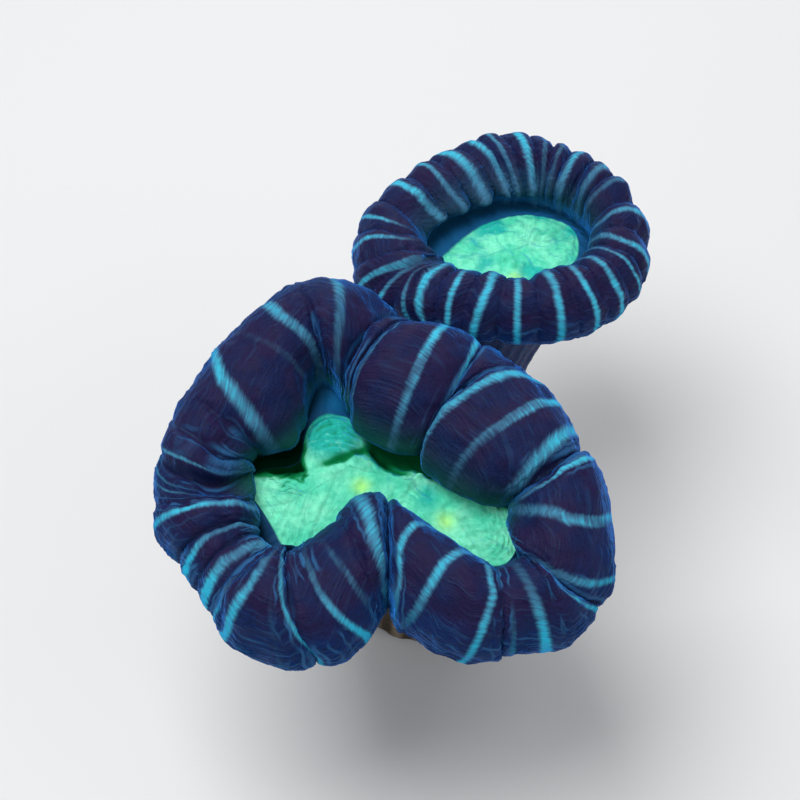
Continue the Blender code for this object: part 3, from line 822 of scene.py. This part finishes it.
REAR_OFFSET = (-0.25, -0.14, 1.3)
# Outer edge of the ring in the furrows between ribs, clockwise from the left, at equal turns of
# 30 degrees
REAR_OUTER = np.array((
    (-12.6, 0.0), (-9.7, 5.2), (-5.5, 9.2), (0.0, 12.9), (6.1, 10.6), (10.9, 6.15),
    (13.4, 0.0), (12.2, -7.0), (7.0, -11.9), (0.0, -12.4), (-6.6, -11.3), (-12.3, -6.9),
))
REAR_INNER_HALF = (7.7, 6.6)            # half size and middle of the ring's oval inner edge
REAR_INNER_MIDDLE = (1.1, -0.7)
REAR_FURROW = 0.8                       # added to a furrow's distance, as it is less sharp
REAR_CREST = 2.9                        # height of the crest in the furrows
REAR_SWELL = (0.55, 0.35, 0.65)         # how far a rib stands out, in and up
# Turn and spread in degrees, and gain, of the puffed ribs at the back right. Then the same of the
# ribs' rounded ends that overhang the funnel at the back, with their section angle and its spread
REAR_PUFFS = (45.0, 28.0, 0.75)
REAR_OVERHANG = (125.0, 48.0, 2.3, 157.0, 18.0)
REAR_MOUTHS = ((1.5, -4.9),)
REAR_MOUTH_LINE = ((-2.8, -2.2), (5.0, 0.2))
REAR_DISC_FOLD = ((2.6, 0.4), (1.7, -1.4), (1.5, -3.4))
# Edge of the green disc from its left end, clockwise, at equal turns of 40 degrees
REAR_DISC_EDGE = np.array((
    (-5.4, -3.0), (-3.9, -0.4), (-1.1, 2.7), (3.2, 4.2), (7.0, 2.4),
    (7.4, -1.2), (5.8, -4.4), (1.5, -6.2), (-3.2, -5.3),
))
REAR_RING = {"crest_share": 0.42, "belly": 3.1, "trough": 206.0, "disc": -1.0,
             "seat_half": (6.2, 6.0), "seat_middle": (0.0, 0.6), "seat": -7.0,
             "side_ends": (-25.0, 30.0), "inner_starts": (105.0, 165.0),
             "wall_starts": (160.0, 190.0), "ring_lines": 0.8, "rim_lines": 0.02,
             "frills": 0.0, "disc_glow": 0.1}


def even_curve(points, count):
    """A smooth closed curve through plan points at equal turns, at count places on it."""
    return smooth_loop(points, np.arange(count) * len(points) / count)


def ribbed_mantle(turn, angles, ribs, ring):
    """The oval mantle ring, swollen along each rib by a quarter circle up from the furrow on
    either side, more so at the back right, and with a rounded overhang where the ribs end above
    the funnel at the back. Returns points, distance to the nearest furrow, distance to the
    nearest rib over its stripe's half width, and that stripe's brightness."""
    degrees = np.degrees(angles)
    at = np.stack([np.interp(degrees, STRIPE_ANGLES, rib[0:3]) for rib in ribs])
    at = np.concatenate([at[-1:] - 360, at, at[:1] + 360])
    around = (turn[:, None] + 540 - at[1][None]) % 360 + at[1][None] - 180
    around = np.where(around < at[1][None], around + 360, around)
    around = np.where(around >= at[1][None] + 360, around - 360, around)
    k = (around[:, None] >= at[None, 1:-1]).sum(1)
    column = np.arange(len(angles))[None]
    before, after = at[k, column], at[k + 1, column]
    p = np.clip((around - before) / (after - before), 0, 1)
    narrow = np.clip((after - before) * np.radians(10) / 1.8, 0.25, 1)
    bulge = rounded(np.abs(2 * p - 1)) * narrow
    left = ease(0.82, 0.99, -np.cos(np.radians(turn)))[:, None]
    fade = 1 - ease(145 - 45 * left, 190 - 45 * left, degrees[None])
    middle, spread, gain = REAR_PUFFS
    swell = bulge * fade * (1 + gain * bell(turn - middle, spread)[:, None])

    direction = spokes(np.radians(turn))
    lump = waves(np.concatenate([direction * 13, direction[:, :1] * 0], 1), 9.0, 5)[:, None]
    inner = np.array(REAR_INNER_MIDDLE) + direction * REAR_INNER_HALF
    middle, spread, gain, section, section_spread = REAR_OVERHANG
    overhang = bell(turn - middle, spread)[:, None] * (0.3 + gain * bulge)
    overhang = overhang * bell(degrees - section, section_spread)[None]
    points = ring_section(even_curve(REAR_OUTER, len(turn)), inner, swell * REAR_SWELL[0],
                          swell * REAR_SWELL[1] + overhang,
                          REAR_CREST + 0.25 * lump + swell * REAR_SWELL[2], angles, ring)

    arc = np.radians(1) * np.linalg.norm(points[..., :2], axis=-1)
    furrow = np.abs(p - 0.5) * (after - before) * arc
    share = np.interp(angles, (angles[0], angles[-1]), (0, 1))[None]
    rows = ribs[(np.stack([k - 1, k])) % len(ribs)]
    half = rows[..., 3] + (rows[..., 4] - rows[..., 3]) * share
    away = np.abs(np.stack([around - before, after - around])) * arc / half
    first = away[0] <= away[1]
    weights = np.stack([np.interp(degrees, STRIPE_ANGLES, row) for row in np.eye(3)], -1)
    bright = (rows[..., 5:8] * weights).sum(-1)
    return points, furrow, away.min(0), np.where(first, bright[0], bright[1])


def rear_disc_relief(points):
    """A gently domed disc with broad folds, and a fold that runs down to the mouth."""
    x, y = points[..., 0], points[..., 1]
    away = line_distance(x, y, REAR_DISC_FOLD)
    height = 0.35 * bell(x - 2.0, 4.0) * bell(y + 0.5, 3.2) - 0.2 * bell(away, 0.35)
    height += 0.14 * waves(points, 2.6, 61) + 0.05 * np.sin(5.0 * waves(points, 4.0, 63))
    teal = ease(0.2, 1.4, waves(points, 5.0, 65))
    # Painted shade along the fold; the wall is 0.4 open everywhere, which paints it lighter and
    # thins the painted shade in its crevice
    return height, 0.12 * bell(away, 0.3), teal, np.full(x.shape, 0.4)


rear_angles = section_angles(REAR_RING)
rear_turn = (360.0 - 360.0 * np.arange(COLUMNS) / COLUMNS) % 360 - 180
rear_mantle, furrow_away, rear_stripe, rear_bright = ribbed_mantle(rear_turn, rear_angles,
                                                                    REAR_RIBS, REAR_RING)
rear_frame = head_matrix("rear_polyp", REAR_OFFSET, REAR_LEAN)
rear_head = grow_head(
    "rear_head", rear_frame, REAR_RING, rear_angles, rear_mantle, furrow_away + REAR_FURROW,
    rear_stripe, rear_bright, even_curve(REAR_DISC_EDGE, COLUMNS),
    mouth_points(REAR_MOUTH_LINE, COLUMNS), rear_disc_relief, REAR_MOUTHS, seed=41)
rear_head.data.materials.append(striped_flesh)
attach(rear_head, "root")
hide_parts("rear_polyp")


# ---------------------------------------------------------------------------------------------
# Skeleton. The trunk and its two branches are limestone that the coral laid down: upright ribs
# with rough blunt spines, swollen at each pause in growth. The trunk was sawn through flat, which
# bares the plates inside it. The skin of each head reaches a little way down its branch.
# ---------------------------------------------------------------------------------------------

BRANCH_RADIUS = 4.8
BRANCH_ROOT = 2.5                       # how far a branch runs down into the trunk
FRONT_ROOT, REAR_ROOT = (-1.0, -5.4), (1.0, 5.4)    # where the branches stand on the trunk
SKIN_REACH = 8.0                        # how far the skin of a head reaches down its branch
# Share of the trunk's height, and half width and depth there
TRUNK_SECTIONS = np.array((
    (0.0, 7.9, 8.5), (0.15, 7.8, 8.4), (0.45, 6.7, 7.9), (0.8, 6.1, 9.5), (1.0, 5.4, 9.9),
))
# Share of a branch's length, its radius there as a share of the branch's own, and how far it has
# taken on the outline of its head's seat
BRANCH_SECTIONS = np.array((
    (0.0, 0.80, 0.0), (0.12, 0.96, 0.0), (0.3, 0.95, 0.0), (0.5, 0.92, 0.0), (0.7, 0.96, 0.15),
    (0.88, 1.0, 0.7), (1.0, 1.0, 1.0),
))
RIB_COUNT = 26
LIMB_COLUMNS = RIB_COUNT * 12
TRUNK_ROWS, DOME_ROWS, FOOT_ROWS, BRANCH_ROWS = 90, 25, 45, 130
SPINE_GAP = 1.15                        # spacing of the spines along a rib
DOME_HEIGHT = 1.5
SAWN_DEPTH = 0.9                        # how deep the gaps between the plates are
limb_turn = 2 * np.pi * np.arange(LIMB_COLUMNS) / LIMB_COLUMNS


def smooth_rows(table, places):
    """Rows of a table at places between its first column's values, by a cubic in each gap whose
    slopes are those of the table."""
    knots, values = table[:, 0], table[:, 1:]
    slope = np.gradient(values, knots, axis=0)
    k = np.clip(np.searchsorted(knots, places, side="right") - 1, 0, len(knots) - 2)
    width = (knots[k + 1] - knots[k])[:, None]
    p = (places - knots[k])[:, None] / width
    return cubic(p, width, values[k], slope[k], values[k + 1], slope[k + 1])


def rib_relief(points, along, seed):
    """How far the limestone stands out in mm, and 1 on a rib to 0 between ribs: a rib is a
    rounded cosine round the limb, cut into blunt spines along it, over slow swellings and pits."""
    phase = limb_turn * RIB_COUNT + 0.9 * waves(points, 9.0, seed)
    ridge = (0.5 + 0.5 * np.cos(phase)) ** 1.4
    other = 0.75 + 0.25 * np.cos(phase / 2)
    teeth = ripple(along, SPINE_GAP, 4.5 * waves(points, 4.0, seed + 1))
    spines = 0.72 + 0.28 * teeth * ease(-0.8, 1.0, waves(points, 3.0, seed + 5))
    swelling = 0.24 * waves(points, 7.0, seed + 2)
    pits = 0.09 * waves(points, 1.5, seed + 3) + 0.05 * waves(points, 0.8, seed + 4)
    return 0.46 * ridge * other * spines + swelling + pits, ridge


def limb_mesh(name, rings, fields):
    """A closed tube in mm from rings of points, with a point in the middle of either end."""
    rows, columns = rings.shape[:2]
    count = rows * columns
    index = np.arange(count).reshape(rows, columns)
    after = np.roll(index, -1, 1)
    quads = np.stack([index[:-1], after[:-1], after[1:], index[1:]], -1).reshape(-1, 4)
    bottom = np.stack([after[0], index[0], np.full(columns, count)], -1)
    top = np.stack([index[-1], after[-1], np.full(columns, count + 1)], -1)

    def with_ends(grid):
        """The rings' values in a column, with the means of the first and last ring."""
        ends = grid[[0, -1]].reshape(2, columns, -1).mean(1)
        return np.concatenate([grid.reshape(count, -1), ends])

    faces = quads.tolist() + bottom.tolist() + top.tolist()
    return smooth_piece(name, with_ends(rings) * MM, faces,
                        {field: with_ends(values) for field, values in fields.items()})


def stand_up(direction, flat):
    """Turns flat vectors out of the level plane, so that +Z goes to each row's direction."""
    level = np.stack([-direction[:, 1], direction[:, 0], 0 * direction[:, 0]], 1)[:, None]
    once = np.cross(level, flat)
    return flat + once + np.cross(level, once) / (1 + direction[:, None, 2:])


def grow_branch(name, root, head, ring, seed):
    """A branch along a cubic curve, upright at the fork and in line with the head's axis under
    the head. Its section changes from round to the oval of the head's seat."""
    overlap = 0.5                       # how far it reaches into the head
    foot = np.array((*root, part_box("trunk")[1][2] / MM - BRANCH_ROOT))
    top = np.array(head @ (Vector((*ring["seat_middle"], ring["seat"] + overlap)) * MM)) / MM
    axis = np.array(head.to_3x3() @ Vector((0.0, 0.0, 1.0)))
    rise = np.linalg.norm(top - foot) / 3
    controls = np.array((foot, foot + (0, 0, rise), top - axis * rise, top))
    t = np.linspace(0, 1, BRANCH_ROWS)[:, None]
    spread = np.concatenate([(1 - t) ** 3, 3 * t * (1 - t) ** 2, 3 * t * t * (1 - t), t ** 3], 1)
    centre = spread @ controls
    direction = np.gradient(centre, axis=0)
    direction /= np.linalg.norm(direction, axis=1, keepdims=True)
    length = np.linalg.norm(np.diff(centre, axis=0), axis=1).cumsum()
    along = np.concatenate([[0.0], length])[:, None]
    share, seat_share = smooth_rows(BRANCH_SECTIONS, t[:, 0]).T
    half = BRANCH_RADIUS * share[:, None]
    half = half + (np.array(ring["seat_half"]) - half) * np.clip(seat_share, 0, 1)[:, None]
    circle = np.concatenate([spokes(limb_turn), np.zeros((LIMB_COLUMNS, 1))], 1)
    flat = circle[None] * np.concatenate([half, np.ones_like(t)], 1)[:, None]
    outward = stand_up(direction, np.broadcast_to(circle, flat.shape))
    points = centre[:, None] + stand_up(direction, flat)
    relief, ridge = rib_relief(points, along, seed)
    margin = along - along[-1] + SKIN_REACH + 0.8 * waves(points, 5.0, seed + 7)
    skin = ease(-0.25, 0.35, margin + 0.9 * (1 - ridge))
    relief = relief * (1 - 0.65 * skin) + 0.28 * skin
    points = points + outward * (relief * ease(0, 0.6, along[-1] - along + 0.1))[..., None]
    return limb_mesh(name, points, {"skin_cover": skin, "ridge": ridge, "sawn": 0 * ridge})


def grow_trunk(name, seed):
    """The trunk: oval sections up to the fork, an oval dome that closes over the feet of the
    branches, and a flat sawn foot with plates and a spongy middle cut level."""
    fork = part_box("trunk")[1][2] / MM
    height = np.linspace(0, 1, TRUNK_ROWS)
    half = smooth_rows(TRUNK_SECTIONS, height)
    dome = np.radians(np.linspace(0, 84, DOME_ROWS + 1)[1:])
    closing = np.linspace(1, 0.04, FOOT_ROWS + 1)[:0:-1]
    foot, above = slice(0, FOOT_ROWS), FOOT_ROWS + TRUNK_ROWS
    wide = np.concatenate([half[0] * closing[:, None], half, half[-1] * np.cos(dome)[:, None]])
    level = np.concatenate([0 * closing, height * fork, fork + DOME_HEIGHT * np.sin(dome)])
    circle = spokes(limb_turn)
    points = np.concatenate([circle[None] * wide[:, None],
                             np.repeat(level[:, None, None], LIMB_COLUMNS, 1)], -1)
    relief, ridge = rib_relief(points, points[..., 2], seed)
    sides = np.concatenate([0 * closing, np.ones(TRUNK_ROWS), np.cos(dome)])[:, None]
    rising = ease(0, 0.5, points[..., 2]) * sides
    points[..., :2] += circle[None] * ((relief - 0.2) * sides * (0.5 + 0.5 * rising))[..., None]
    points[above:, :, 2] += 0.5 * relief[above:]

    # The sawn foot: plates in from the wall, every other one longer, and a spongy middle
    share = closing[:, None]
    plates = (0.5 + 0.5 * np.cos(limb_turn * RIB_COUNT + 1.2 * waves(points[foot], 6.0, seed))) ** 2
    inner_end = 0.30 + 0.22 * (0.5 + 0.5 * np.cos(limb_turn * RIB_COUNT / 2))
    solid = np.maximum(plates * ease(inner_end - 0.05, inner_end + 0.05, share),
                       ease(0.88, 0.92, share))
    sponge = ease(-0.3, 0.3, waves(points[foot], 1.3, seed + 5)) * ease(0.42, 0.34, share)
    solid = np.clip(np.maximum(solid, sponge), 0, 1)
    points[foot, :, 2] += SAWN_DEPTH * (1 - ease(0.25, 0.55, solid))
    sawn = np.zeros(points.shape[:2])
    sawn[foot] = 1.0
    ridge[foot] = solid
    return limb_mesh(name, points, {"skin_cover": 0 * ridge, "ridge": ridge, "sawn": sawn})


def limestone_material():
    """Limestone: tan, paler on the ribs and darker in the furrows, pink and purple crusts of algae
    and an olive film, chalky where sawn, and covered by dark skin under the heads."""
    material, shader, add, drive = shader_nodes("limestone")
    here = add("ShaderNodeTexCoord").outputs["Object"]
    broad = noise(add, here, 190.0, 4.0, 0.6)
    crusts = noise(add, scaled(add, here, (1.0, 1.0, 0.7)), 260.0, 5.0, 0.62)
    films = noise(add, scaled(add, here, (1.0, 1.0, 0.5)), 140.0, 3.0, 0.6)
    grit = noise(add, here, 2600.0, 3.0, 0.7)
    ridge, cover = attribute(add, "ridge"), attribute(add, "skin_cover")
    pink = coated(add, (0.170, 0.045, 0.085), (band(add, broad, 0.4, 0.6), (0.250, 0.100, 0.135)))
    chalk = coated(add, (0.200, 0.170, 0.130), (ridge, (0.700, 0.660, 0.570)))
    # The skin on the branches, with a share of the sides' blue, which is partly painted blue light
    skin = add("ShaderNodeGroup", {"node_tree": dark_skin}, Patches=broad, Side=0.6)
    skin = coated(add, skin.outputs["Color"],
                  (band(add, ridge, 0.3, 0.9, 0.0, 0.25), (0.020, 0.100, 0.220)))
    drive("Base Color", coated(
        add, (0.165, 0.125, 0.082), (band(add, broad, 0.35, 0.65), (0.250, 0.210, 0.150)),
        (band(add, ridge, 0.35, 0.9, 0.0, 0.6), (0.360, 0.310, 0.235)),
        (band(add, films, 0.50, 0.62, 0.0, 0.65), (0.070, 0.080, 0.035)),
        (band(add, crusts, 0.54, 0.60, 0.0, 0.85), pink),
        (band(add, ridge, 0.0, 0.45, 0.72, 0.0), (0.040, 0.030, 0.022)),
        (band(add, grit, 0.38, 0.52, 0.35, 0.0), (0.060, 0.045, 0.033)),
        (attribute(add, "sawn"), chalk), (cover, skin)))
    relief = maths(add, "ADD", grit, times(add, crusts, 1.2))
    drive("Normal", add("ShaderNodeBump", None, Height=relief, Strength=0.8,
                        Distance=0.0002).outputs[0])
    drive("Roughness", maths(add, "SUBTRACT", band(add, grit, 0.3, 0.7, 0.80, 0.95),
                             times(add, cover, 0.35)))
    shader.inputs["Specular IOR Level"].default_value = 0.25
    return material


limestone = limestone_material()
trunk_shell = grow_trunk("trunk_shell", seed=71)
front_limb = grow_branch("front_limb", FRONT_ROOT, front_frame, FRONT_RING, seed=81)
rear_limb = grow_branch("rear_limb", REAR_ROOT, rear_frame, REAR_RING, seed=91)
limbs = {"trunk": trunk_shell, "front_branch": front_limb, "rear_branch": rear_limb}
for node, limb in limbs.items():
    limb.data.materials.append(limestone)
    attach(limb, "root")
    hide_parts(node)


# ---------------------------------------------------------------------------------------------
# Stage: a plain pale floor under soft lamps, and the camera above the front head.
# ---------------------------------------------------------------------------------------------
FLOOR_SIZE = 1.6                        # metres
bpy.ops.mesh.primitive_plane_add(size=FLOOR_SIZE, location=(0, 0, 0))
floor = bpy.context.object
floor.name = "floor"
pale_floor = bpy.data.materials.new("pale_floor")
pale_floor.use_nodes = True
paint = pale_floor.node_tree.nodes["Principled BSDF"].inputs
paint["Base Color"].default_value = (0.72, 0.72, 0.72, 1)
paint["Roughness"].default_value = 0.9
floor.data.materials.append(pale_floor)


def soft_lamp(name, place, energy, size):
    """A square area lamp aimed at the middle of the object. Place and size are in metres."""
    light = bpy.data.lights.new(name, "AREA")
    light.energy = energy
    light.size = size
    lamp = bpy.data.objects.new(name, light)
    lamp.location = place
    aim = (cad_low + cad_high) / 2 - Vector(place)
    lamp.rotation_euler = aim.to_track_quat("-Z", "Y").to_euler()
    bpy.context.scene.collection.objects.link(lamp)


soft_lamp("key", (-0.09, -0.03, 0.33), 0.88, 0.20)
soft_lamp("fill", (0.28, -0.10, 0.18), 0.2, 0.25)
soft_lamp("back", (0.05, 0.30, 0.20), 0.4, 0.20)

world = bpy.data.worlds.new("studio")
bpy.context.scene.world = world
world.use_nodes = True
sky = world.node_tree.nodes["Background"].inputs
sky["Color"].default_value = (0.85, 0.87, 0.9, 1)
sky["Strength"].default_value = 0.40

CAMERA_ELEVATION = 50.0                 # degrees above the level
CAMERA_DISTANCE = 190.0
CAMERA_TARGET = (-2.4, -7.8, 35.9)
camera_data = bpy.data.cameras.new("camera")
camera_data.lens = 100
camera_data.sensor_width = 36
camera_data.clip_start = 0.01
camera = bpy.data.objects.new("camera", camera_data)
elevation = np.radians(CAMERA_ELEVATION)
sight = Vector((0, np.cos(elevation), -np.sin(elevation)))
camera.location = (Vector(CAMERA_TARGET) - sight * CAMERA_DISTANCE) * MM
camera.rotation_euler = sight.to_track_quat("-Z", "Y").to_euler()
bpy.context.scene.collection.objects.link(camera)
bpy.context.scene.camera = camera
bpy.context.scene.view_settings.view_transform = "Standard"
